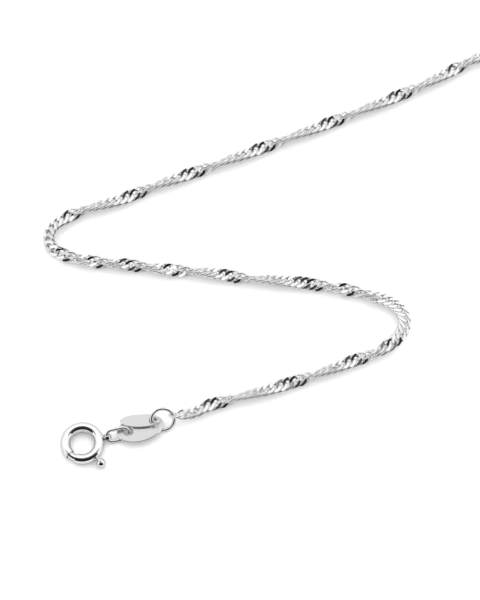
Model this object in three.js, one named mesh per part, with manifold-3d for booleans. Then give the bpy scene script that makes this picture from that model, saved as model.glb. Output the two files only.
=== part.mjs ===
// Singapore chain: a fine twisted curb chain in silver that lies open on a flat surface.
// Millimetres, +Z up, with the surface at z = 0. The clasp's end and the open end are at -X.
import * as THREE from "three";
import { mergeVertices } from "three/addons/utils/BufferGeometryUtils.js";
import Module from "manifold-3d";

const wasm = await Module();
wasm.setup();

// The clasp, loop and tags lie on one line. A place on it is u along the line from the clasp's
// centre, v across it and z up. Angles are in degrees, anticlockwise from the line.
const CLASP_AT = { x: -57.9, y: -3.7 };
const CLASP_TURN = 17.3;

// Spring ring clasp: a hollow tube bent to a ring, with a mouth that the bolt closes
const RING_RADIUS = 2.18;
const TUBE_RADIUS = 0.68;
const TUBE_SIDES = 10;
const AXIS_HEIGHT = TUBE_RADIUS * Math.cos(Math.PI / TUBE_SIDES);
const BORE_RADIUS = 0.55;
const MOUTH_FROM = 208;
const MOUTH_TO = 233;
const ARC_STEP = 10;

// Bolt: its tip seats in the tube past the mouth, and its lever stands out through a slot
const BOLT_RADIUS = 0.45;
const BOLT_SIDES = 8;
const BOLT_SEAT = 9;
const BOLT_TAIL = 9;
const LEVER_ANGLE = 295;
const LEVER_TRAVEL = 35;
const STEM_RADIUS = 0.25;
const BALL_RADIUS = 0.64;
const BALL_DISTANCE = 3.7;
const TONGUE = { from: 2.95, to: 3.55, rise: 0.44 }; // the stem's end, which runs up over the ball
const SLOT_WIDTH = 0.7;
const SLOT_MARGIN = 8;

// Collar: a short band soldered to the tube, round the end of the loop
const COLLAR = { u: 3.24, v: -0.15, z: 0.75, inner: 0.42, outer: 0.6, width: 0.5, sides: 12 };

// Rings of round wire
const WIRE = { radius: 0.24, sides: 8, steps: 26 };
const LOOP = {
  u: 4.69,
  v: -0.27,
  z: 0.73,
  halfLength: 1.475,
  halfWidth: 0.78,
  yaw: -4.6,
  slope: 37,
  pitch: 0,
};
const JUMP_RING = { x: -47.53, y: -0.65, z: 1.19, radius: 1.46, tilt: 40 };
const END_RING = { radius: 1.7, steps: 28 };

// Oval tags, plain on both faces
const TAG_LOWER = {
  u: 7.68,
  v: -0.32,
  z: 0.77,
  halfLength: 3.1,
  halfWidth: 1.95,
  thickness: 0.25,
  yaw: 0,
  slope: -9,
  pitch: 0,
  holes: [-1.55, 1.84],
  holeRadius: 0.6,
};
const TAG_UPPER = {
  u: 7.88,
  v: 0.6,
  z: 0.98,
  halfLength: 2.6,
  halfWidth: 0.95,
  thickness: 0.2,
  yaw: -17,
  slope: -8,
  pitch: 3,
  holes: [1.7],
  holeRadius: 0.5,
};
const TAG_BEVEL = 0.05;

// Chain: a flat band of links that turns half round between one edge-on place and the next
const BAND = { halfWidth: 0.88, halfThickness: 0.36, sides: 8, steps: 300 };
const END_LINK = { halfLength: 0.95, halfWidth: 0.6, wire: 0.2, sides: 6, steps: 18, overlap: 0.3 };
const GRIP_ANGLE = 22; // where the first link holds the jump ring, up from its right side
const LINK_CLEARANCE = 0.15;
const HIDDEN_HALF_TURN = 8.6;

// The chain's centre line from the jump ring to the far end, chosen by hand
const ROUTE = [
  [-45.1, 0, 1.1],
  [-44.2, 0.2, 0.98],
  [-43.2, 0.6, 0.9],
  [-42.1, 1.2, 0.9],
  [-40.2, 1.8, 0.9],
  [-38.4, 2.3, 0.9],
  [-33.7, 3.6, 0.9],
  [-27.8, 5.6, 0.9],
  [-22.6, 7.6, 0.9],
  [-20.4, 8.4, 0.9],
  [-18.3, 9.6, 0.9],
  [-16.7, 11.1, 0.9],
  [-16, 12.8, 0.9],
  [-16.3, 14.3, 0.9],
  [-17.6, 15.6, 0.9],
  [-19.4, 16.4, 0.9],
  [-22, 17.2, 0.9],
  [-25.9, 18, 0.9],
  [-31, 18.7, 0.9],
  [-36.8, 19.2, 0.9],
  [-42.2, 20, 0.9],
  [-46.9, 20.4, 0.9],
  [-52.4, 21.1, 0.9],
  [-57.2, 21.6, 0.9],
  [-59.3, 22, 0.9],
  [-61.2, 22.7, 0.9],
  [-62.6, 23.7, 0.9],
  [-63, 25.2, 0.9],
  [-62.5, 26.6, 0.9],
  [-61.3, 27.6, 0.9],
  [-58.6, 29, 0.9],
  [-56.3, 29.7, 0.9],
  [-53, 30.8, 0.9],
  [-49.4, 32.4, 0.9],
  [-40.6, 35.8, 0.9],
  [-31.7, 39.4, 0.9],
  [-22.1, 43.4, 0.9],
  [-13.2, 47.4, 0.9],
  [-4.7, 52, 0.9],
  [12, 58.9, 0.9],
  [31, 57.9, 0.9],
  [49.5, 48, 0.9],
  [62.5, 31.5, 0.9],
  [67, 9.5, 0.9],
  [65.6, -14, 0.9],
  [56.2, -36, 0.9],
  [40, -51.6, 0.9],
  [18, -58.8, 0.9],
  [-8, -58.4, 0.9],
  [-34, -54, 0.9],
  [-63.5, -45.8, 0.9],
];

// Lengths along the centre line at which the band stands on its edge, as seen from the front. Past
// the last one the half turns are even.
const EDGE_ON_AT = [
  -1.8, 6.9, 18, 26.3, 40.1, 44.4, 55.3, 62.8, 68.8, 74, 78.3, 89.6, 99.6, 108.7, 118.8, 129, 138.9, 146.3,
];
// Seen from the front and not from straight above, the band is edge-on when it leans by this angle,
// to one side where it runs to +X and to the other where it runs to -X
const EDGE_LEAN = 26;

const UP = new THREE.Vector3(0, 0, 1);
const radians = THREE.MathUtils.degToRad;

// Finishes

const polishedSilver = new THREE.MeshStandardMaterial({ color: 0xe4e5e6, roughness: 0.12, metalness: 1 });
const rolledSilver = new THREE.MeshStandardMaterial({ color: 0xd8d9da, roughness: 0.22, metalness: 1 });

// Solids

function toSolid(geometry) {
  const bare = geometry.clone();
  bare.deleteAttribute("normal");
  bare.deleteAttribute("uv");
  const merged = mergeVertices(bare, 1e-4);
  const vertProperties = new Float32Array(merged.attributes.position.array);
  const triVerts = new Uint32Array(merged.index.array);
  return new wasm.Manifold(new wasm.Mesh({ numProp: 3, vertProperties, triVerts }));
}

function toGeometry(solid) {
  const mesh = solid.getMesh();
  const geometry = new THREE.BufferGeometry();
  geometry.setAttribute("position", new THREE.BufferAttribute(mesh.vertProperties, 3));
  geometry.setIndex(new THREE.BufferAttribute(mesh.triVerts, 1));
  geometry.computeVertexNormals();
  return geometry;
}

function joined(...geometries) {
  const solids = geometries.map(toSolid);
  return toGeometry(solids.reduce((whole, piece) => whole.add(piece)));
}

// Corners of a polygon section; turn is the angle of its first corner in half sides
function polygon(sides, radiusX, radiusY, turn = 1) {
  const corners = [];
  for (let i = 0; i < sides; i += 1) {
    const angle = ((2 * i + turn) * Math.PI) / sides;
    corners.push(new THREE.Vector2(radiusX * Math.cos(angle), radiusY * Math.sin(angle)));
  }
  return new THREE.Shape(corners);
}

// A straight bar of the section, whose points are then moved by place(x, y, share of its length)
function bentBar(section, steps, place) {
  const geometry = new THREE.ExtrudeGeometry(section, { depth: 1, steps, bevelEnabled: false });
  const position = geometry.attributes.position;
  for (let i = 0; i < position.count; i += 1) {
    const point = place(position.getX(i), position.getY(i), position.getZ(i));
    position.setXYZ(i, point.x, point.y, point.z);
  }
  return geometry;
}

// A bar bent to an arc of the clasp's ring, from one angle to another
function ringArc(section, from, to) {
  const steps = Math.ceil((to - from) / ARC_STEP);
  return bentBar(section, steps, (x, y, share) => {
    const angle = radians(from + (to - from) * share);
    const radius = RING_RADIUS + x;
    return new THREE.Vector3(radius * Math.cos(angle), radius * Math.sin(angle), -y);
  });
}

// A closed oval of round wire with straight sides along X
function wireOval(halfLength, halfWidth, wire, sides, steps) {
  const geometry = new THREE.TorusGeometry(halfWidth, wire, sides, steps);
  const straight = halfLength - halfWidth;
  const position = geometry.attributes.position;
  for (let i = 0; i < position.count; i += 1) {
    position.setX(i, position.getX(i) + Math.sign(position.getX(i)) * straight);
  }
  return geometry;
}

function named(name, geometry, material) {
  const mesh = new THREE.Mesh(geometry, material);
  mesh.name = name;
  return mesh;
}

// Clasp

function slotCutter() {
  const from = radians(LEVER_ANGLE - SLOT_MARGIN);
  const to = radians(LEVER_ANGLE + LEVER_TRAVEL + SLOT_MARGIN);
  const outer = RING_RADIUS + 2 * TUBE_RADIUS;
  const sector = new THREE.Shape();
  sector.absarc(0, 0, outer, from, to, false);
  sector.absarc(0, 0, RING_RADIUS, to, from, true);
  const settings = { depth: SLOT_WIDTH, bevelEnabled: false, curveSegments: 6 };
  return new THREE.ExtrudeGeometry(sector, settings).translate(0, 0, -SLOT_WIDTH / 2);
}

function collar() {
  const { inner, outer, width, sides } = COLLAR;
  const profile = [
    new THREE.Vector2(inner, -width / 2),
    new THREE.Vector2(outer, -width / 2),
    new THREE.Vector2(outer, width / 2),
    new THREE.Vector2(inner, width / 2),
    new THREE.Vector2(inner, -width / 2),
  ];
  const band = new THREE.LatheGeometry(profile, sides).rotateX(radians(LOOP.slope));
  return band.translate(COLLAR.u, COLLAR.v, COLLAR.z - AXIS_HEIGHT);
}

function claspBody() {
  const from = MOUTH_TO;
  const to = MOUTH_FROM + 360;
  const tube = toSolid(ringArc(polygon(TUBE_SIDES, TUBE_RADIUS, TUBE_RADIUS, 0), from, to));
  const bore = toSolid(ringArc(polygon(TUBE_SIDES, BORE_RADIUS, BORE_RADIUS, 0), from - 1, to + 1));
  const slot = toSolid(slotCutter());
  const band = toSolid(collar());
  return toGeometry(tube.subtract(bore).subtract(slot).add(band));
}

function tongue() {
  const { from, to, rise } = TONGUE;
  const length = Math.hypot(to - from, rise);
  const geometry = new THREE.CapsuleGeometry(STEM_RADIUS, length, 3, BOLT_SIDES);
  geometry.rotateZ(-Math.PI / 2).rotateY(-Math.atan2(rise, to - from));
  return geometry.translate((from + to) / 2, 0, rise / 2);
}

function claspBolt() {
  const tip = MOUTH_FROM - BOLT_SEAT;
  const wire = ringArc(polygon(BOLT_SIDES, BOLT_RADIUS, BOLT_RADIUS), tip, LEVER_ANGLE + BOLT_TAIL);
  const stemLength = BALL_DISTANCE - RING_RADIUS;
  const stem = new THREE.CylinderGeometry(STEM_RADIUS, STEM_RADIUS, stemLength, BOLT_SIDES);
  stem.rotateZ(-Math.PI / 2).translate(RING_RADIUS + stemLength / 2, 0, 0);
  const ball = new THREE.SphereGeometry(BALL_RADIUS, 14, 10).translate(BALL_DISTANCE, 0, 0);
  const lever = [stem, tongue(), ball];
  lever.forEach((piece) => piece.rotateZ(radians(LEVER_ANGLE)));
  return joined(wire, ...lever);
}

// Tags and rings

function tagGeometry({ halfLength, halfWidth, thickness, holes, holeRadius }) {
  const outline = new THREE.Shape();
  outline.absellipse(0, 0, halfLength - TAG_BEVEL, halfWidth - TAG_BEVEL, 0, 2 * Math.PI);
  for (const x of holes) {
    const hole = new THREE.Path();
    hole.absarc(x, 0, holeRadius + TAG_BEVEL, 0, 2 * Math.PI, true);
    outline.holes.push(hole);
  }
  const geometry = new THREE.ExtrudeGeometry(outline, {
    depth: thickness - 2 * TAG_BEVEL,
    bevelThickness: TAG_BEVEL,
    bevelSize: TAG_BEVEL,
    bevelSegments: 1,
    curveSegments: 16,
  });
  return geometry.translate(0, 0, TAG_BEVEL - thickness / 2);
}

// Turned by yaw about Z, its right end lifted by pitch, then rolled by slope about its long axis
function layAlong(mesh, { u, v, z, yaw, slope, pitch }) {
  mesh.position.set(u, v, z);
  mesh.rotation.set(radians(slope), radians(-pitch), radians(yaw), "ZYX");
  return mesh;
}

function loopMesh() {
  const geometry = wireOval(LOOP.halfLength, LOOP.halfWidth, WIRE.radius, WIRE.sides, WIRE.steps);
  return layAlong(named("clasp_loop", geometry, polishedSilver), LOOP);
}

function jumpRingMesh() {
  const geometry = new THREE.TorusGeometry(JUMP_RING.radius, WIRE.radius, WIRE.sides, WIRE.steps);
  const mesh = named("jump_ring", geometry, polishedSilver);
  mesh.position.set(JUMP_RING.x, JUMP_RING.y, JUMP_RING.z);
  mesh.rotation.x = radians(JUMP_RING.tilt);
  return mesh;
}

// Chain

const route = new THREE.CatmullRomCurve3(
  ROUTE.map((place) => new THREE.Vector3(...place)),
  false,
  "centripetal",
);
route.arcLengthDivisions = 3000;
const chainLength = route.getLength();

// Half turns of the band from its start to a length along the centre line
function halfTurnsAt(length) {
  const last = EDGE_ON_AT.length - 1;
  if (length >= EDGE_ON_AT[last]) {
    return last + (length - EDGE_ON_AT[last]) / HIDDEN_HALF_TURN;
  }
  const next = EDGE_ON_AT.findIndex((edge) => edge > length);
  const from = EDGE_ON_AT[next - 1];
  return next - 1 + (length - from) / (EDGE_ON_AT[next] - from);
}

function bandGeometry() {
  const section = polygon(BAND.sides, BAND.halfWidth, BAND.halfThickness, 0);
  return bentBar(section, BAND.steps, (across, through, share) => {
    const centre = route.getPointAt(share);
    const ahead = route.getTangentAt(share);
    const side = new THREE.Vector3().crossVectors(UP, ahead).normalize();
    const roll = Math.PI * (halfTurnsAt(share * chainLength) + 0.5) + radians(EDGE_LEAN) * ahead.x;
    const flat = side.clone().applyAxisAngle(ahead, roll);
    const face = new THREE.Vector3().crossVectors(ahead, flat);
    return centre.addScaledVector(flat, across).addScaledVector(face, through);
  });
}

// A closed link that holds a ring's wire at grip, with its long axis towards the band's end
function endLink(grip, bandEnd, wireDirection) {
  const { halfLength, halfWidth, wire, sides, steps } = END_LINK;
  const ahead = bandEnd.clone().sub(grip).normalize();
  const across = new THREE.Vector3().crossVectors(wireDirection, ahead).normalize();
  const square = new THREE.Vector3().crossVectors(ahead, across);
  const centre = grip.clone().addScaledVector(ahead, halfLength - wire - WIRE.radius - LINK_CLEARANCE);
  const place = new THREE.Matrix4().makeBasis(ahead, across, square).setPosition(centre);
  return wireOval(halfLength, halfWidth, wire, sides, steps).applyMatrix4(place);
}

function firstLink() {
  const angle = radians(GRIP_ANGLE);
  const tilt = radians(JUMP_RING.tilt);
  const turned = (x, y) => new THREE.Vector3(x, y * Math.cos(tilt), y * Math.sin(tilt));
  const centre = new THREE.Vector3(JUMP_RING.x, JUMP_RING.y, JUMP_RING.z);
  const arm = turned(Math.cos(angle), Math.sin(angle));
  const wireDirection = turned(-Math.sin(angle), Math.cos(angle));
  return endLink(centre.addScaledVector(arm, JUMP_RING.radius), route.getPointAt(0), wireDirection);
}

// Where the far ring's wire passes through the last link
function lastGrip() {
  const { halfLength, wire, overlap } = END_LINK;
  const reach = 2 * halfLength - overlap - wire - WIRE.radius - LINK_CLEARANCE;
  return route.getPointAt(1).addScaledVector(route.getTangentAt(1), reach);
}

function lastLink() {
  const acrossRing = new THREE.Vector3().crossVectors(UP, route.getTangentAt(1));
  return endLink(lastGrip(), route.getPointAt(1), acrossRing);
}

// The far ring leans: its near side is lifted to the last link's height
function endRingMesh() {
  const { radius, steps } = END_RING;
  const grip = lastGrip();
  const ahead = route.getTangentAt(1);
  const lean = Math.asin((grip.z - WIRE.radius) / (2 * radius));
  const geometry = new THREE.TorusGeometry(radius, WIRE.radius, WIRE.sides, steps);
  const mesh = named("end_ring", geometry, polishedSilver);
  mesh.position.copy(grip).addScaledVector(ahead, radius * Math.cos(lean));
  mesh.position.z = WIRE.radius + radius * Math.sin(lean);
  mesh.rotation.set(0, lean, Math.atan2(ahead.y, ahead.x), "ZYX");
  return mesh;
}

// Assembly

const part = new THREE.Group();

const claspLine = new THREE.Group();
claspLine.position.set(CLASP_AT.x, CLASP_AT.y, 0);
claspLine.rotation.z = radians(CLASP_TURN);
part.add(claspLine);

const clasp = new THREE.Group();
clasp.position.z = AXIS_HEIGHT;
clasp.add(named("clasp_body", claspBody(), polishedSilver));
clasp.add(named("clasp_bolt", claspBolt(), polishedSilver));
claspLine.add(clasp);

claspLine.add(loopMesh());
claspLine.add(layAlong(named("tag_lower", tagGeometry(TAG_LOWER), rolledSilver), TAG_LOWER));
claspLine.add(layAlong(named("tag_upper", tagGeometry(TAG_UPPER), rolledSilver), TAG_UPPER));

part.add(jumpRingMesh());
part.add(named("chain", joined(bandGeometry(), firstLink(), lastLink()), polishedSilver));
part.add(endRingMesh());

export default part;
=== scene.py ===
"""Silver singapore chain with a spring ring clasp, lying open on a pale floor.

Metres and +Z up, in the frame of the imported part. Named sizes are in millimetres, angles in degrees.
"""
import math

import bmesh
import bpy
import numpy as np
from mathutils import Matrix, Vector


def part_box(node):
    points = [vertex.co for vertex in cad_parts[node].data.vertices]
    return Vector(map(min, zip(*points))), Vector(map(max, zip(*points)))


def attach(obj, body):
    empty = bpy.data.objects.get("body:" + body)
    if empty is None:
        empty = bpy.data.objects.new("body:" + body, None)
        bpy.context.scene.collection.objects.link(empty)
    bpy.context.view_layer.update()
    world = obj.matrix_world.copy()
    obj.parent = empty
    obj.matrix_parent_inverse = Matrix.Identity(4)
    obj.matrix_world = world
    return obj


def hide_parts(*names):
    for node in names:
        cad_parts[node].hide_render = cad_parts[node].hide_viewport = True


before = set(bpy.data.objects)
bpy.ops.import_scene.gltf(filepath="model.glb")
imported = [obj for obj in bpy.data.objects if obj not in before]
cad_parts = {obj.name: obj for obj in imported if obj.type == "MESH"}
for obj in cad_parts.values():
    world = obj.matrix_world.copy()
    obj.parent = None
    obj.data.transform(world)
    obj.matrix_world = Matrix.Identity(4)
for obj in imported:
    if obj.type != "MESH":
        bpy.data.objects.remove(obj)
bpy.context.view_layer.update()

MM = 0.001
BODY = "necklace"
BOLT_BODY = "bolt"

# Camera: it looks down at a point of the floor from in front
LOOK_AT = (-37.6, 16.45, 0)
ELEVATION = 68
DISTANCE = 330
LENS = 150
SENSOR_WIDTH = 36
NEAREST = 10
FARTHEST = 10000

# The dome lights the floor: its level of light at the south and at the north
DOME_LEVEL = (0.6, 2.6)

# The room shows in the metal alone. A direction is told by how far it points up, south and east or
# west. A pair of values holds where an effect sets in and where it is full. The horizon is dimmed,
# but not to the south.
ROOM_LEVEL = 1.06
HORIZON_DIM = 0.38
HORIZON_TOP = (0.8, 0.0)
HORIZON_ENDS = (0.5, 0.1)

# The dark front of the room, to the south: its north end, its sides, which go out farther towards
# the south, its foot, and how dark it is at its start and farther south
FRONT_START = (-0.12, -0.04)
FRONT_SIDE = (0.66, 0.56)
FRONT_WIDENS = 0.28
FRONT_WIDENING = (0.2, 0.4)
FRONT_FOOT = (0.22, 0.32)
FRONT_DARK = (0.93, 0.985)
FRONT_DARKENING = (0.0, 0.4)

# Floor
FLOOR_HALF_SIZE = 1200
FLOOR_TONE = 0.9
FLOOR_IN_METAL = 0.5
FLOOR_ROUGHNESS = 0.9
FLOOR_SCALE = 40

# Noise: most of its values lie in this range
NOISE_RANGE = (0.3, 0.7)

# Silver: fineness of the changes in its tone and gloss, share by which its gloss changes, ripple
TONE_SCALE = 900
GLOSS_SCALE = 2500
GLOSS_CHANGE = 0.3
RIPPLE_DEPTH = 0.02

# Tags: tone and roughness of the rim and of a flat face, told apart by how level the surface is. The
# flat face's darker tone is painted shade, standing in for the dim light it reflects; its greater
# roughness is the rolled finish.
FLAT_FACE = (0.965, 0.985)
TAG_TONE_AND_FACE_SHADE = (0.97, 0.66)
TAG_GLOSS = (0.06, 0.3)
TAG_TONE_CHANGE = (0.98, 1.0)

# Least angle between two faces that shows as a crisp edge
CLASP_CREASE = 35
TAG_CREASE = 14

# The clasp, loop and tags lie on one line: u along it from the clasp's centre, v across it, z up
CLASP_AT = (-57.9, -3.7)
CLASP_TURN = 17.3

# Spring ring clasp
RING_RADIUS = 2.18
TUBE_RADIUS = 0.68
BORE_RADIUS = 0.55
AXIS_HEIGHT = 0.68
MOUTH_FROM = 208
MOUTH_TO = 233
BORE_PAST_MOUTH = 1
BOLT_RADIUS = 0.45
BOLT_SEAT = 9
BOLT_TAIL = 9
LEVER_ANGLE = 295
LEVER_TRAVEL = 35
STEM_RADIUS = 0.25
BALL_RADIUS = 0.64
BALL_DISTANCE = 3.7
TONGUE_FROM = (2.95, 0)
TONGUE_TO = (3.55, 0.44)
SLOT_WIDTH = 0.7
SLOT_MARGIN = 8
COLLAR = {"u": 3.24, "v": -0.15, "z": 0.75, "inner": 0.42, "outer": 0.6, "width": 0.5}
COLLAR_BEVEL = 0.04

# Wire rings
WIRE_RADIUS = 0.24
LOOP = {"u": 4.69, "v": -0.27, "z": 0.73, "yaw": -4.6, "slope": 37, "pitch": 0}
LOOP_HALF_LENGTH = 1.475
LOOP_HALF_WIDTH = 0.78
JUMP_RING_AT = (-47.53, -0.65, 1.19)
JUMP_RING_RADIUS = 1.46
JUMP_RING_TILT = 40
END_RING_RADIUS = 1.7

# Oval tags
TAG_LOWER = {"u": 7.68, "v": -0.32, "z": 0.77, "yaw": 0, "slope": -9, "pitch": 0}
TAG_LOWER_OVAL = {
    "half_length": 3.1,
    "half_width": 1.95,
    "thickness": 0.25,
    "holes": (-1.55, 1.84),
    "hole": 0.6,
}
TAG_UPPER = {"u": 7.88, "v": 0.6, "z": 0.98, "yaw": -17, "slope": -8, "pitch": 3}
TAG_UPPER_OVAL = {
    "half_length": 2.6,
    "half_width": 0.95,
    "thickness": 0.2,
    "holes": (1.7,),
    "hole": 0.5,
}
RIM_START = 15  # how far a tag's rounded edge leans at once where it leaves the flat face
RIM_ROWS = 17

# Chain links: each is a long twisted ring of wire that is cut flat above and below. It reaches past
# the next link, into the one after it.
LINK_REACH = 1.25
LINK_HALF_WIDTH = 0.74
LINK_TWIST = 40
LINK_WIRE = 0.19
LINK_FLAT = 0.26
LINK_STEPS = 20
LINK_SIDES = 8
END_SPACING = 0.9
END_GAP = 0.08
GRIP_ANGLE = 22  # where the first link holds the jump ring, up from its right side
CLEAR_OF_RINGS = 0.6  # how far from either end of the centre line the links between the rings start

# Spacing of the links at lengths along the centre line
SPACING = (
    (0, 0.92),
    (18, 0.86),
    (40, 0.85),
    (62, 0.82),
    (80, 0.88),
    (92, 0.94),
    (120, 0.92),
    (440, 0.92),
)

# The chain's centre line from the jump ring to the far end
ROUTE = (
    (-45.1, 0, 1.1),
    (-44.2, 0.2, 0.98),
    (-43.2, 0.6, 0.93),
    (-42.1, 1.2, 0.93),
    (-40.2, 1.8, 0.93),
    (-38.4, 2.3, 0.93),
    (-33.7, 3.6, 0.93),
    (-27.8, 5.6, 0.93),
    (-22.6, 7.6, 0.93),
    (-20.4, 8.4, 0.93),
    (-18.3, 9.6, 0.93),
    (-16.7, 11.1, 0.93),
    (-16, 12.8, 0.93),
    (-16.3, 14.3, 0.93),
    (-17.6, 15.6, 0.93),
    (-19.4, 16.4, 0.93),
    (-22, 17.2, 0.93),
    (-25.9, 18, 0.93),
    (-31, 18.7, 0.93),
    (-36.8, 19.2, 0.93),
    (-42.2, 20, 0.93),
    (-46.9, 20.4, 0.93),
    (-52.4, 21.1, 0.93),
    (-57.2, 21.6, 0.93),
    (-59.3, 22, 0.93),
    (-61.2, 22.7, 0.93),
    (-62.6, 23.7, 0.93),
    (-63, 25.2, 0.93),
    (-62.5, 26.6, 0.93),
    (-61.3, 27.6, 0.93),
    (-58.6, 29, 0.93),
    (-56.3, 29.7, 0.93),
    (-53, 30.8, 0.93),
    (-49.4, 32.4, 0.93),
    (-40.6, 35.8, 0.93),
    (-31.7, 39.4, 0.93),
    (-22.1, 43.4, 0.93),
    (-13.2, 47.4, 0.93),
    (-4.7, 52, 0.93),
    (12, 58.9, 0.93),
    (31, 57.9, 0.93),
    (49.5, 48, 0.93),
    (62.5, 31.5, 0.93),
    (67, 9.5, 0.93),
    (65.6, -14, 0.93),
    (56.2, -36, 0.93),
    (40, -51.6, 0.93),
    (18, -58.8, 0.93),
    (-8, -58.4, 0.93),
    (-34, -54, 0.93),
    (-63.5, -45.8, 0.93),
)
ROUTE_STEPS = 60  # steps of the curve from one point to the next

# How the chain turns about its centre line: quarter turns counted from its start, at lengths along
# it. As seen from the front it stands on its edge at the even ones and shows its face at the odd
# ones. Round the first bend it is held a little past its face, and round the second a little short.
QUARTER_TURNS = (
    (-1.8, 0), (5.2, 1), (6.9, 2), (15.6, 3), (18, 4), (24.6, 5), (26.3, 6),
    (29.5, 7.2), (38, 7.35),
    (40.1, 8), (42.3, 9), (44.4, 10), (46.8, 11), (55.3, 12), (57.7, 13), (62.8, 14),
    (65.6, 15), (68.8, 16), (71.2, 17), (74, 18), (76.2, 19), (78.3, 20), (79.9, 21),
    (81.2, 20.65), (86.6, 20.65),
    (88.3, 21), (89.6, 22), (97.1, 23), (99.6, 24), (105.6, 25), (108.7, 26), (115.9, 27),
    (118.8, 28), (126, 29), (129, 30), (136.3, 31), (138.9, 32), (144.7, 33), (146.3, 34),
    (447.3, 104),
)
EDGE_LEAN = 26  # how far the chain leans over to stand on its edge for the eye, where it heads east


# Materials


def new_material(name):
    material = bpy.data.materials.new(name)
    material.use_nodes = True
    tree = material.node_tree
    return material, tree, tree.nodes["Principled BSDF"]


def feed(tree, value, socket):
    """Sets a socket to a number, or links another node's output to it."""
    if isinstance(value, (int, float)):
        socket.default_value = value
    else:
        tree.links.new(value, socket)


def math_node(tree, operation, *values):
    node = tree.nodes.new("ShaderNodeMath")
    node.operation = operation
    for value, socket in zip(values, node.inputs):
        feed(tree, value, socket)
    return node.outputs[0]


def spread_between(tree, value, source, result):
    """Maps a value from one range to another in a straight line."""
    node = tree.nodes.new("ShaderNodeMapRange")
    node.inputs["From Min"].default_value, node.inputs["From Max"].default_value = source
    node.inputs["To Min"].default_value, node.inputs["To Max"].default_value = result
    tree.links.new(value, node.inputs["Value"])
    return node.outputs["Result"]


def smooth_step(tree, value, low, high):
    """Maps a value to 0 at low and 1 at high, softly at both ends."""
    node = tree.nodes.new("ShaderNodeMapRange")
    node.interpolation_type = "SMOOTHSTEP"
    node.inputs["From Min"].default_value = low
    node.inputs["From Max"].default_value = high
    tree.links.new(value, node.inputs["Value"])
    return node.outputs["Result"]


def in_metal(tree, seen, otherwise):
    """Gives one value to reflections in polished metal and another to everything else."""
    path = tree.nodes.new("ShaderNodeLightPath")
    mixed = tree.nodes.new("ShaderNodeMix")
    tree.links.new(path.outputs["Is Glossy Ray"], mixed.inputs["Factor"])
    feed(tree, otherwise, mixed.inputs["A"])
    feed(tree, seen, mixed.inputs["B"])
    return mixed.outputs["Result"]


def noise(tree, scale, detail=2.0):
    coordinates = tree.nodes.new("ShaderNodeTexCoord")
    texture = tree.nodes.new("ShaderNodeTexNoise")
    texture.inputs["Scale"].default_value = scale
    texture.inputs["Detail"].default_value = detail
    tree.links.new(coordinates.outputs["Object"], texture.inputs["Vector"])
    return texture.outputs["Fac"]


def silver(name, tone, roughness, ripple, ripple_scale):
    """Polished silver whose tone and gloss vary a little, with a faint ripple in its surface."""
    material, tree, shader = new_material(name)
    shader.inputs["Metallic"].default_value = 1.0
    ramp = tree.nodes.new("ShaderNodeValToRGB")
    darker, lighter = ramp.color_ramp.elements
    darker.position, lighter.position = NOISE_RANGE
    darker.color = (tone * 0.95, tone * 0.953, tone * 0.955, 1)
    lighter.color = (tone, tone * 1.002, tone * 1.005, 1)
    tree.links.new(noise(tree, TONE_SCALE), ramp.inputs["Fac"])
    tree.links.new(ramp.outputs["Color"], shader.inputs["Base Color"])
    around = (roughness * (1 - GLOSS_CHANGE), roughness * (1 + GLOSS_CHANGE))
    gloss = spread_between(tree, noise(tree, GLOSS_SCALE, detail=4), NOISE_RANGE, around)
    tree.links.new(gloss, shader.inputs["Roughness"])
    bump = tree.nodes.new("ShaderNodeBump")
    bump.inputs["Strength"].default_value = ripple
    bump.inputs["Distance"].default_value = RIPPLE_DEPTH * MM
    tree.links.new(noise(tree, ripple_scale), bump.inputs["Height"])
    tree.links.new(bump.outputs["Normal"], shader.inputs["Normal"])
    return material


def tag_silver(name):
    """Rolled silver: rougher on flat faces, polished on rounded rims. The flat faces' darker grey tone
    is painted shade, standing in for the dim light they reflect.
    """
    material, tree, shader = new_material(name)
    shader.inputs["Metallic"].default_value = 1.0
    coordinates = tree.nodes.new("ShaderNodeTexCoord")
    axes = tree.nodes.new("ShaderNodeSeparateXYZ")
    tree.links.new(coordinates.outputs["Normal"], axes.inputs["Vector"])
    face = smooth_step(tree, math_node(tree, "ABSOLUTE", axes.outputs["Z"]), *FLAT_FACE)
    # Darker tone on flat faces: painted shade, standing in for the dim light they reflect
    tone = spread_between(tree, face, (0.0, 1.0), TAG_TONE_AND_FACE_SHADE)
    grain = spread_between(tree, noise(tree, TONE_SCALE), NOISE_RANGE, TAG_TONE_CHANGE)
    tree.links.new(math_node(tree, "MULTIPLY", tone, grain), shader.inputs["Base Color"])
    tree.links.new(spread_between(tree, face, (0.0, 1.0), TAG_GLOSS), shader.inputs["Roughness"])
    return material


def floor_material():
    """A pale floor, which the metal sees dimmer than it is, as in a room whose far floor is unlit."""
    material, tree, shader = new_material("pale_floor")
    shader.inputs["Roughness"].default_value = FLOOR_ROUGHNESS
    shader.inputs["Specular IOR Level"].default_value = 0.0
    tones = (FLOOR_TONE * 0.99, FLOOR_TONE)
    pale = spread_between(tree, noise(tree, FLOOR_SCALE), NOISE_RANGE, tones)
    tree.links.new(in_metal(tree, FLOOR_IN_METAL, pale), shader.inputs["Base Color"])
    return material


# Mesh helpers


def unit(vector):
    return vector / np.linalg.norm(vector)


def to_object(name, vertices, faces, material):
    mesh = bpy.data.meshes.new(name)
    mesh.from_pydata([tuple(v) for v in np.asarray(vertices) * MM], [], faces)
    mesh.materials.append(material)
    mesh.update()
    mesh.shade_smooth()
    piece = bpy.data.objects.new(name, mesh)
    bpy.context.scene.collection.objects.link(piece)
    return piece


def finish_piece(piece, place, body, nodes):
    """Moves a piece, made round its own origin, to its place in the part's frame."""
    piece.data.transform(place)
    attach(piece, body)
    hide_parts(*nodes)


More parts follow.
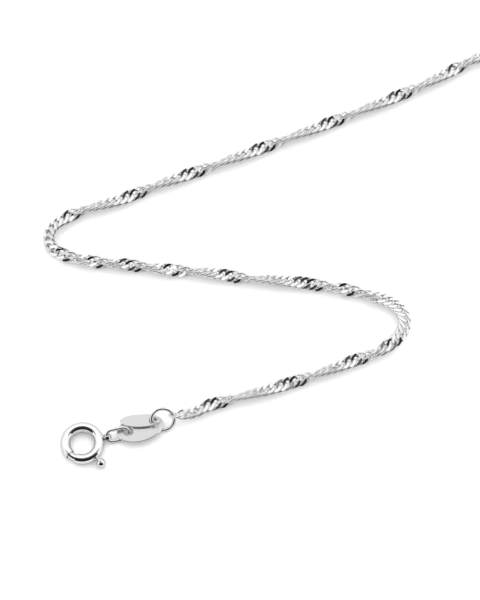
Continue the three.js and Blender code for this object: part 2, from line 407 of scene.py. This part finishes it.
def placed(u, v, z, yaw=0.0, slope=0.0, pitch=0.0):
    """The matrix of a place on the clasp's line: slope rolls, then pitch lifts +u, then yaw about Z."""
    line = Matrix.Translation((CLASP_AT[0] * MM, CLASP_AT[1] * MM, 0))
    line @= Matrix.Rotation(math.radians(CLASP_TURN), 4, "Z")
    turn = Matrix.Rotation(math.radians(yaw), 4, "Z")
    turn @= Matrix.Rotation(math.radians(-pitch), 4, "Y")
    turn @= Matrix.Rotation(math.radians(slope), 4, "X")
    return line @ Matrix.Translation((u * MM, v * MM, z * MM)) @ turn


def tube_faces(rings, sides, closed):
    """Faces of a tube whose vertices run ring by ring: closed on itself, or with flat ends."""
    faces = []
    for i in range(rings if closed else rings - 1):
        for j in range(sides):
            a, b = i * sides, (i + 1) % rings * sides
            k = (j + 1) % sides
            faces.append((a + j, b + j, b + k, a + k))
    if not closed:
        faces.append(tuple(range(sides)))
        faces.append(tuple(reversed(range((rings - 1) * sides, rings * sides))))
    return faces


def circle(sides, radius):
    angles = np.arange(sides) * 2 * math.pi / sides
    return radius * np.cos(angles), radius * np.sin(angles)


def ring_arc(radius, start, end, tube, sides=28, step=2.5):
    """A round bar bent about Z from one angle to another."""
    rings = int((end - start) / step) + 2
    across, up = circle(sides, tube)
    vertices = []
    for angle in np.radians(np.linspace(start, end, rings)):
        for x, z in zip(across, up):
            vertices.append(((radius + x) * math.cos(angle), (radius + x) * math.sin(angle), z))
    return vertices, tube_faces(rings, sides, closed=False)


def wire_ring(half_length, half_width, rings=96, sides=20):
    """A closed ring of round wire in the XY plane, with straight sides along X where it is longer."""
    straight = half_length - half_width
    across, up = circle(sides, WIRE_RADIUS)
    vertices = []
    for i in range(rings):
        angle = 2 * math.pi * (i + 0.5) / rings
        shift = math.copysign(straight, math.cos(angle))
        for x, z in zip(across, up):
            reach = half_width + x
            vertices.append((reach * math.cos(angle) + shift, reach * math.sin(angle), z))
    return vertices, tube_faces(rings, sides, closed=True)


def cut(piece, tool, operation):
    """Joins a tool to a piece, or cuts it away, and removes the tool."""
    modifier = piece.modifiers.new("cut", "BOOLEAN")
    modifier.object = tool
    modifier.operation = operation
    modifier.solver = "EXACT"
    bpy.context.view_layer.update()
    evaluated = piece.evaluated_get(bpy.context.evaluated_depsgraph_get())
    result = bpy.data.meshes.new_from_object(evaluated)
    piece.modifiers.clear()
    piece.data = result
    bpy.data.objects.remove(tool)


def sharpen(piece, degrees):
    """Smooth faces with crisp edges where two faces meet at more than the angle."""
    piece.data.shade_smooth()
    piece.data.set_sharp_from_angle(angle=math.radians(degrees))


# Chain


def route_samples():
    """Points along the centripetal Catmull-Rom curve through ROUTE, and the length to each."""
    points = [np.array(p, float) for p in ROUTE]
    points = [2 * points[0] - points[1]] + points + [2 * points[-1] - points[-2]]
    samples = []
    for p0, p1, p2, p3 in zip(points, points[1:], points[2:], points[3:]):
        d0 = np.linalg.norm(p1 - p0) ** 0.5
        d1 = np.linalg.norm(p2 - p1) ** 0.5
        d2 = np.linalg.norm(p3 - p2) ** 0.5
        start = ((p1 - p0) / d0 - (p2 - p0) / (d0 + d1) + (p2 - p1) / d1) * d1
        end = ((p2 - p1) / d1 - (p3 - p1) / (d1 + d2) + (p3 - p2) / d2) * d1
        for t in np.arange(0, 1, 1 / ROUTE_STEPS):
            a = 2 * t**3 - 3 * t**2 + 1
            b = t**3 - 2 * t**2 + t
            c = -2 * t**3 + 3 * t**2
            d = t**3 - t**2
            samples.append(a * p1 + b * start + c * p2 + d * end)
    samples.append(points[-2])
    samples = np.array(samples)
    steps = np.linalg.norm(np.diff(samples, axis=0), axis=1)
    return samples, np.concatenate([[0], np.cumsum(steps)])


def place_at(samples, lengths, length):
    """Point and direction of the centre line at a length."""
    point = np.array([np.interp(length, lengths, samples[:, k]) for k in range(3)])
    i = min(max(np.searchsorted(lengths, length), 1), len(lengths) - 1)
    return point, unit(samples[i] - samples[i - 1])


def value_at(length, rows):
    """The value at a length, between the rows of a list of lengths and values."""
    lengths, values = zip(*rows)
    return np.interp(length, lengths, values)


def roll_at(length, heading):
    """Angle of the chain's flat side from level, at a length where the chain heads east by heading."""
    turns = value_at(length, QUARTER_TURNS)
    return math.radians(90 * (turns - 1) + EDGE_LEAN * heading)


def link_centre(t):
    """The middle of a link's wire at an angle t round the link."""
    reach = LINK_HALF_WIDTH * math.sin(t)
    tilt = -math.radians(LINK_TWIST) * math.cos(t)
    return np.array([LINK_REACH * math.cos(t), reach * math.cos(tilt), reach * math.sin(tilt)])


def link_wire(build):
    """Adds a link's round wire, ring by ring."""
    nudge = 0.01
    across, up = circle(LINK_SIDES, LINK_WIRE)
    rings = []
    for t in np.arange(LINK_STEPS) * 2 * math.pi / LINK_STEPS:
        centre = link_centre(t)
        ahead = unit(link_centre(t + nudge) - link_centre(t - nudge))
        out = unit(centre - np.dot(centre, ahead) * ahead)
        side = np.cross(ahead, out)
        rings.append([build.verts.new(centre + out * a + side * b) for a, b in zip(across, up)])
    for first, second in zip(rings, rings[1:] + rings[:1]):
        for j in range(LINK_SIDES):
            k = (j + 1) % LINK_SIDES
            build.faces.new((first[j], first[k], second[k], second[j]))
    bmesh.ops.recalc_face_normals(build, faces=build.faces)


def cut_flat(build):
    """Cuts a link's wire flat above and below."""
    for sign in (1, -1):
        everything = build.verts[:] + build.edges[:] + build.faces[:]
        sliced = bmesh.ops.bisect_plane(
            build,
            geom=everything,
            plane_co=(0, 0, sign * LINK_FLAT),
            plane_no=(0, 0, sign),
            clear_outer=True,
        )
        rim = [e for e in sliced["geom_cut"] if isinstance(e, bmesh.types.BMEdge)]
        bmesh.ops.holes_fill(build, edges=rim, sides=0)
    bmesh.ops.recalc_face_normals(build, faces=build.faces)


def mesh_lists(build):
    """The corner points and the faces of a mesh in the making."""
    build.verts.index_update()
    vertices = [v.co[:] for v in build.verts]
    faces = [[v.index for v in f.verts] for f in build.faces]
    return vertices, faces


def link_mesh():
    """One link about the origin: X along the chain, Y across its flat side, Z out of it."""
    level = 0.999
    build = bmesh.new()
    link_wire(build)
    cut_flat(build)
    vertices, faces = mesh_lists(build)
    rounded = [abs(f.normal.z) < level for f in build.faces]
    build.free()
    return np.array(vertices), faces, rounded


def jump_ring_grip():
    """Point and direction of the jump ring's wire where the first link holds it."""
    turn = np.array(Matrix.Rotation(math.radians(JUMP_RING_TILT), 3, "X"))
    angle = math.radians(GRIP_ANGLE)
    arm = turn @ np.array([math.cos(angle), math.sin(angle), 0])
    along = turn @ np.array([-math.sin(angle), math.cos(angle), 0])
    return np.array(JUMP_RING_AT) + arm * JUMP_RING_RADIUS, along


def end_ring_lean():
    """Angle at which the far ring leans, its near side lifted to the last link's height."""
    low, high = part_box("end_ring")
    rise = (high.z - low.z) / MM - 2 * WIRE_RADIUS
    return math.asin(rise / (2 * END_RING_RADIUS))


def end_ring_grip(ahead):
    """Point and direction of the far ring's wire where the last link holds it."""
    low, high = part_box("end_ring")
    middle = np.array((low + high) / 2) / MM
    flat = unit(np.array([ahead[0], ahead[1], 0]))
    lean = end_ring_lean()
    grip = middle - flat * END_RING_RADIUS * math.cos(lean)
    grip[2] = middle[2] + END_RING_RADIUS * math.sin(lean)
    return grip, np.array([-flat[1], flat[0], 0])


def holding_link(grip, along, towards):
    """Place and axes of a link that holds a ring's wire at grip and points towards the chain."""
    ahead = unit(towards - grip)
    flat = unit(np.cross(along, ahead))
    reach = LINK_REACH * END_SPACING - LINK_WIRE - WIRE_RADIUS - END_GAP
    return grip + ahead * reach, np.array([ahead * END_SPACING, flat, np.cross(ahead, flat)])


def link_places():
    """Centre and axes of each link: first along the centre line, then the two that hold the rings."""
    samples, lengths = route_samples()
    places = []
    length = CLEAR_OF_RINGS
    while length < lengths[-1] - CLEAR_OF_RINGS:
        spacing = value_at(length, SPACING)
        point, ahead = place_at(samples, lengths, length)
        side = unit(np.cross((0, 0, 1), ahead))
        lift = np.cross(ahead, side)
        roll = roll_at(length, ahead[0])
        flat = side * math.cos(roll) + lift * math.sin(roll)
        places.append((point, np.array([ahead * spacing, flat, np.cross(ahead, flat)])))
        length += spacing
    first, last = places[0][0], places[-1][0]
    ahead = place_at(samples, lengths, lengths[-1])[1]
    places.append(holding_link(*jump_ring_grip(), first))
    places.append(holding_link(*end_ring_grip(ahead), last))
    return places


def chain_links(material):
    link, link_faces, link_rounded = link_mesh()
    vertices = []
    faces = []
    rounded = []
    for centre, axes in link_places():
        start = len(vertices)
        vertices.extend(centre + link @ axes)
        faces.extend([[start + i for i in f] for f in link_faces])
        rounded.extend(link_rounded)
    piece = to_object("chain_links", vertices, faces, material)
    piece.data.polygons.foreach_set("use_smooth", rounded)
    finish_piece(piece, Matrix.Identity(4), BODY, ["chain"])


# Clasp


def slot_cutter(rows=14):
    """A flat block bent along the tube's outer side, a little longer than the lever's travel."""
    start = math.radians(LEVER_ANGLE - SLOT_MARGIN)
    end = math.radians(LEVER_ANGLE + LEVER_TRAVEL + SLOT_MARGIN)
    angles = np.linspace(start, end, rows)
    outer = RING_RADIUS + 2 * TUBE_RADIUS
    outline = [(RING_RADIUS * math.cos(a), RING_RADIUS * math.sin(a)) for a in angles]
    outline += [(outer * math.cos(a), outer * math.sin(a)) for a in reversed(angles)]
    count = len(outline)
    half = SLOT_WIDTH / 2
    vertices = [(x, y, -half) for x, y in outline] + [(x, y, half) for x, y in outline]
    faces = [tuple(reversed(range(count))), tuple(range(count, 2 * count))]
    for i in range(count):
        k = (i + 1) % count
        faces.append((i, k, count + k, count + i))
    return vertices, faces


def collar_mesh(rings=40):
    """The collar: a short tube about Y with bevelled edges."""
    inner, outer, half = COLLAR["inner"], COLLAR["outer"], COLLAR["width"] / 2
    profile = [
        (inner, -half + COLLAR_BEVEL),
        (inner + COLLAR_BEVEL, -half),
        (outer - COLLAR_BEVEL, -half),
        (outer, -half + COLLAR_BEVEL),
        (outer, half - COLLAR_BEVEL),
        (outer - COLLAR_BEVEL, half),
        (inner + COLLAR_BEVEL, half),
        (inner, half - COLLAR_BEVEL),
    ]
    vertices = []
    for i in range(rings):
        angle = 2 * math.pi * i / rings
        for radius, y in profile:
            vertices.append((radius * math.sin(angle), y, radius * math.cos(angle)))
    return vertices, tube_faces(rings, len(profile), closed=True)


def clasp_ring(material):
    past = BORE_PAST_MOUTH
    tube = ring_arc(RING_RADIUS, MOUTH_TO, MOUTH_FROM + 360, TUBE_RADIUS)
    inside = ring_arc(RING_RADIUS, MOUTH_TO - past, MOUTH_FROM + 360 + past, BORE_RADIUS)
    ring = to_object("clasp_ring", *tube, material)
    bore = to_object("bore", *inside, material)
    cut(ring, bore, "DIFFERENCE")
    slot = to_object("slot", *slot_cutter(), material)
    cut(ring, slot, "DIFFERENCE")
    collar = to_object("collar", *collar_mesh(), material)
    turn = Matrix.Rotation(math.radians(LOOP["slope"]), 4, "X")
    shift = (COLLAR["u"] * MM, COLLAR["v"] * MM, (COLLAR["z"] - AXIS_HEIGHT) * MM)
    collar.data.transform(Matrix.Translation(shift) @ turn)
    cut(ring, collar, "UNION")
    sharpen(ring, CLASP_CREASE)
    finish_piece(ring, placed(0, 0, AXIS_HEIGHT), BODY, ["clasp_body"])


def ball_mesh(rings=20, sides=32):
    vertices = [(0, 0, -BALL_RADIUS)]
    for i in range(1, rings):
        tilt = math.pi * i / rings
        reach = BALL_RADIUS * math.sin(tilt)
        for j in range(sides):
            turn = 2 * math.pi * j / sides
            height = -BALL_RADIUS * math.cos(tilt)
            vertices.append((reach * math.cos(turn), reach * math.sin(turn), height))
    vertices.append((0, 0, BALL_RADIUS))
    top = len(vertices) - 1
    faces = []
    for j in range(sides):
        k = (j + 1) % sides
        faces.append((0, 1 + k, 1 + j))
        faces.append((top, 1 + (rings - 2) * sides + j, 1 + (rings - 2) * sides + k))
    for i in range(rings - 2):
        for j in range(sides):
            a, b = 1 + i * sides, 1 + (i + 1) * sides
            k = (j + 1) % sides
            faces.append((a + j, a + k, b + k, b + j))
    return vertices, faces


def stem_mesh(sides=20):
    """The straight stem along X, from the bolt's middle to the ball's."""
    across, up = circle(sides, STEM_RADIUS)
    ends = (RING_RADIUS, BALL_DISTANCE)
    vertices = [(x, y, z) for x in ends for y, z in zip(across, up)]
    return vertices, tube_faces(len(ends), sides, closed=False)


def tongue_mesh(rows=8, sides=20, steepest=88):
    """The round-ended tongue at the stem's end, which runs up over the ball."""
    start = np.array([TONGUE_FROM[0], 0, TONGUE_FROM[1]])
    end = np.array([TONGUE_TO[0], 0, TONGUE_TO[1]])
    along = unit(end - start)
    side = np.array([0, 1, 0])
    upward = np.cross(along, side)
    profile = []
    for tilt in np.radians(np.linspace(-steepest, steepest, 2 * rows)):
        base = start if tilt < 0 else end
        centre = base + along * STEM_RADIUS * math.sin(tilt)
        profile.append((centre, STEM_RADIUS * math.cos(tilt)))
    vertices = []
    for centre, radius in profile:
        for across, up in zip(*circle(sides, radius)):
            vertices.append(centre + side * across + upward * up)
    return vertices, tube_faces(len(profile), sides, closed=False)


def clasp_lever(material):
    tip = MOUTH_FROM - BOLT_SEAT
    bar = ring_arc(RING_RADIUS, tip, LEVER_ANGLE + BOLT_TAIL, BOLT_RADIUS)
    bolt = to_object("clasp_lever", *bar, material)
    turn = Matrix.Rotation(math.radians(LEVER_ANGLE), 4, "Z")
    stem = to_object("stem", *stem_mesh(), material)
    stem.data.transform(turn)
    cut(bolt, stem, "UNION")
    tongue = to_object("tongue", *tongue_mesh(), material)
    tongue.data.transform(turn)
    cut(bolt, tongue, "UNION")
    ball = to_object("ball", *ball_mesh(), material)
    ball.data.transform(turn @ Matrix.Translation((BALL_DISTANCE * MM, 0, 0)))
    cut(bolt, ball, "UNION")
    sharpen(bolt, CLASP_CREASE)
    finish_piece(bolt, placed(0, 0, AXIS_HEIGHT), BOLT_BODY, ["clasp_bolt"])


# Rings and tags


def clasp_loop(material):
    piece = to_object("loop_wire", *wire_ring(LOOP_HALF_LENGTH, LOOP_HALF_WIDTH), material)
    finish_piece(piece, placed(**LOOP), BODY, ["clasp_loop"])


def jump_ring(material):
    ring = wire_ring(JUMP_RING_RADIUS, JUMP_RING_RADIUS)
    piece = to_object("jump_ring_wire", *ring, material)
    place = Matrix.Translation(Vector(JUMP_RING_AT) * MM)
    place @= Matrix.Rotation(math.radians(JUMP_RING_TILT), 4, "X")
    finish_piece(piece, place, BODY, ["jump_ring"])


def end_ring(material):
    piece = to_object("end_ring_wire", *wire_ring(END_RING_RADIUS, END_RING_RADIUS), material)
    low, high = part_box("end_ring")
    samples, lengths = route_samples()
    ahead = place_at(samples, lengths, lengths[-1])[1]
    place = Matrix.Translation((low + high) / 2)
    place @= Matrix.Rotation(math.atan2(ahead[1], ahead[0]), 4, "Z")
    place @= Matrix.Rotation(end_ring_lean(), 4, "Y")
    finish_piece(piece, place, BODY, ["end_ring"])


def rim_rows(thickness):
    """Inset and height of each row of a tag's rounded edge, from its upper face to its lower one."""
    first = math.radians(RIM_START)
    radius = thickness / 2 / math.cos(first)
    angles = np.linspace(first, math.pi - first, RIM_ROWS)
    return [(radius * (1 - math.sin(a)), radius * math.cos(a)) for a in angles]


def oval(half_length, half_width, middle, count):
    angles = np.arange(count) * 2 * math.pi / count
    return [(middle + half_length * math.cos(a), half_width * math.sin(a)) for a in angles]


def add_edge(build, thickness, half_length, half_width, middle=0, inward=1, count=120):
    """Adds the rounded edge of a tag's outline, or of a hole in it, where inward is -1.

    Gives the edges that bound the flat faces, above and below.
    """
    rows = []
    for inset, z in rim_rows(thickness):
        shrink = inward * inset
        curve = oval(half_length - shrink, half_width - shrink, middle, count)
        rows.append([build.verts.new((x, y, z)) for x, y in curve])
    for upper, lower in zip(rows, rows[1:]):
        for i in range(count):
            k = (i + 1) % count
            build.faces.new((upper[i], lower[i], lower[k], upper[k]))
    borders = []
    for row in (rows[0], rows[-1]):
        borders.append([build.edges.get((row[i], row[(i + 1) % count])) for i in range(count)])
    return borders


def tag_mesh(half_length, half_width, thickness, holes, hole):
    """An oval plate with round holes and rounded edges."""
    build = bmesh.new()
    top, bottom = add_edge(build, thickness, half_length, half_width)
    for middle in holes:
        hole_top, hole_bottom = add_edge(build, thickness, hole, hole, middle, inward=-1, count=48)
        top += hole_top
        bottom += hole_bottom
    for border in (top, bottom):
        bmesh.ops.triangle_fill(build, use_beauty=True, edges=border)
    bmesh.ops.recalc_face_normals(build, faces=build.faces)
    vertices, faces = mesh_lists(build)
    build.free()
    return vertices, faces


def tag(name, size, place, node, material):
    piece = to_object(name, *tag_mesh(**size), material)
    sharpen(piece, TAG_CREASE)
    finish_piece(piece, placed(**place), BODY, [node])


# Stage


def floor():
    half = FLOOR_HALF_SIZE * MM
    corners = [(-half, -half, 0), (half, -half, 0), (half, half, 0), (-half, half, 0)]
    mesh = bpy.data.meshes.new("floor")
    mesh.from_pydata(corners, [], [(0, 1, 2, 3)])
    mesh.materials.append(floor_material())
    ground = bpy.data.objects.new("floor", mesh)
    bpy.context.scene.collection.objects.link(ground)


def camera():
    data = bpy.data.cameras.new("camera")
    data.lens = LENS
    data.sensor_width = SENSOR_WIDTH
    data.clip_start = NEAREST * MM
    data.clip_end = FARTHEST * MM
    eye = bpy.data.objects.new("camera", data)
    tilt = math.radians(ELEVATION)
    back = Vector((0, -math.cos(tilt), math.sin(tilt)))
    eye.location = Vector(LOOK_AT) * MM + back * DISTANCE * MM
    eye.rotation_euler = (math.pi / 2 - tilt, 0, 0)
    bpy.context.scene.collection.objects.link(eye)
    bpy.context.scene.camera = eye


def room_level(tree, south, up):
    """Level of the room's walls and ceiling, dimmed towards the horizon."""
    low = smooth_step(tree, up, *HORIZON_TOP)
    behind = smooth_step(tree, south, *HORIZON_ENDS)
    dimmed = math_node(tree, "MULTIPLY", low, behind)
    return math_node(tree, "SUBTRACT", ROOM_LEVEL, math_node(tree, "MULTIPLY", dimmed, HORIZON_DIM))


def front_darkness(tree, east, south, up):
    """How much light the dark front takes away, from 0 outside it to nearly 1."""
    front = smooth_step(tree, south, *FRONT_START)
    nearness = smooth_step(tree, south, *FRONT_WIDENING)
    wider = math_node(tree, "MULTIPLY", nearness, FRONT_WIDENS)
    beside = math_node(tree, "SUBTRACT", math_node(tree, "ABSOLUTE", east), wider)
    narrow = smooth_step(tree, beside, *FRONT_SIDE)
    high = smooth_step(tree, up, *FRONT_FOOT)
    patch = math_node(tree, "MULTIPLY", math_node(tree, "MULTIPLY", front, narrow), high)
    depth = spread_between(tree, south, FRONT_DARKENING, FRONT_DARK)
    return math_node(tree, "MULTIPLY", patch, depth)


def studio():
    """A white room with a dim horizon and a dark front, which show in the polished metal alone."""
    world = bpy.data.worlds.new("studio")
    bpy.context.scene.world = world
    world.use_nodes = True
    tree = world.node_tree
    background = tree.nodes["Background"]
    background.inputs["Color"].default_value = (1, 1, 1, 1)
    coordinates = tree.nodes.new("ShaderNodeTexCoord")
    axes = tree.nodes.new("ShaderNodeSeparateXYZ")
    tree.links.new(coordinates.outputs["Generated"], axes.inputs["Vector"])
    east, north, up = axes.outputs["X"], axes.outputs["Y"], axes.outputs["Z"]
    south = math_node(tree, "MULTIPLY", north, -1.0)
    light = math_node(tree, "SUBTRACT", 1.0, front_darkness(tree, east, south, up))
    seen = math_node(tree, "MULTIPLY", room_level(tree, south, up), light)
    lit = spread_between(tree, north, (-1.0, 1.0), DOME_LEVEL)
    tree.links.new(in_metal(tree, seen, lit), background.inputs["Strength"])


def main():
    polished = silver("polished_silver", tone=0.97, roughness=0.07, ripple=0.15, ripple_scale=700)
    # Tag silver: real rolled finish on the faces, with painted shade in their darker tone
    rolled_and_shaded = tag_silver("rolled_silver")
    cut_silver = silver("chain_silver", tone=0.97, roughness=0.05, ripple=0.1, ripple_scale=2000)
    camera()
    chain_links(cut_silver)
    clasp_ring(polished)
    clasp_lever(polished)
    clasp_loop(polished)
    jump_ring(polished)
    end_ring(polished)
    tag("lower_tag", TAG_LOWER_OVAL, TAG_LOWER, "tag_lower", rolled_and_shaded)
    tag("upper_tag", TAG_UPPER_OVAL, TAG_UPPER, "tag_upper", rolled_and_shaded)
    floor()
    studio()
    bpy.context.scene.view_settings.view_transform = "Standard"


main()
